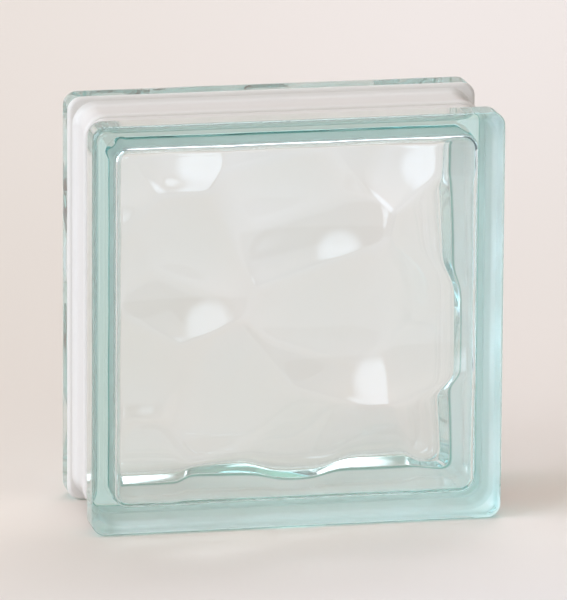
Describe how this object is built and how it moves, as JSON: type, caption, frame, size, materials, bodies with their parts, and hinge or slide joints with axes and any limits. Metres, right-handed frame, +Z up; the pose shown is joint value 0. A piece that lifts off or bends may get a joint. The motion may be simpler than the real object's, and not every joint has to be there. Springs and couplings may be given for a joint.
{
  "type": "glass block",
  "caption": "Square hollow glass block with a wave pattern pressed inside its clear faces and a shallow, white-coated mortar channel round its edge, for building translucent walls.",
  "frame": {"origin": "on the floor under the middle of the block, which stands on its lower edge", "axes": "+X across the face to the right seen from the front, +Y through the depth to the back face, +Z up"},
  "size_m": [0.19, 0.08, 0.19],
  "materials": {
    "glass": "clear, faintly green, with a matt white coating in the mortar channel"
  },
  "bodies": {
    "root": {"glass_block": "glass"}
  },
  "joints": []
}
